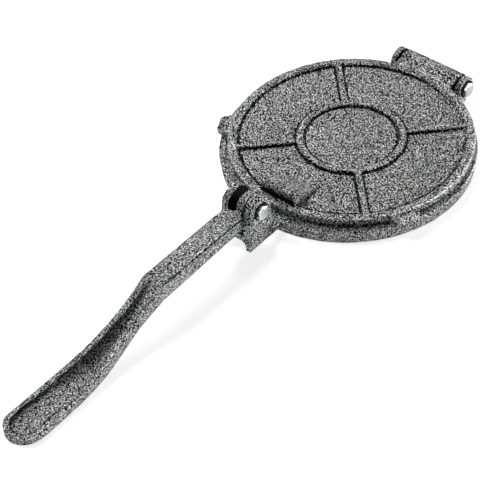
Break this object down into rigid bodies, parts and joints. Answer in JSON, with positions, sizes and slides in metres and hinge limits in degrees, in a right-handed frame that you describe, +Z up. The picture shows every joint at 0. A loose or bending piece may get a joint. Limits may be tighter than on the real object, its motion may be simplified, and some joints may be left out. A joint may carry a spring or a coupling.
{
  "type": "tortilla press",
  "caption": "Cast tortilla press for 200 mm tortillas: round base, hinged lid with ribs and lift tabs, and a folding lever handle, in silver hammered paint.",
  "frame": {"origin": "centre of the base plate at table level", "axes": "+Z up, +Y towards the rear hinge, -Y along the lever at rest, +X towards the bolt heads"},
  "size_m": [0.209, 0.5085, 0.0504],
  "materials": {
    "hammered_paint": "silver vein hammered paint on cast iron",
    "zinc_plate": "bright zinc plate"
  },
  "bodies": {
    "base": {"base_plate": "hammered_paint", "lever_bolt": "zinc_plate", "lever_nut": "zinc_plate", "hinge_bolt": "zinc_plate"},
    "lid": {"top_plate": "hammered_paint"},
    "lever": {"lever_handle": "hammered_paint"}
  },
  "joints": [
    {"name": "lid_hinge", "type": "hinge", "parent": "base", "child": "lid", "pos_m": [0, 0.1135, 0.0122], "axis": [-1, 0, 0], "range_deg": [0, 178]},
    {"name": "lever_hinge", "type": "hinge", "parent": "base", "child": "lever", "pos_m": [0, -0.125, 0.038], "axis": [-1, 0, 0], "range_deg": [0, 190]}
  ]
}
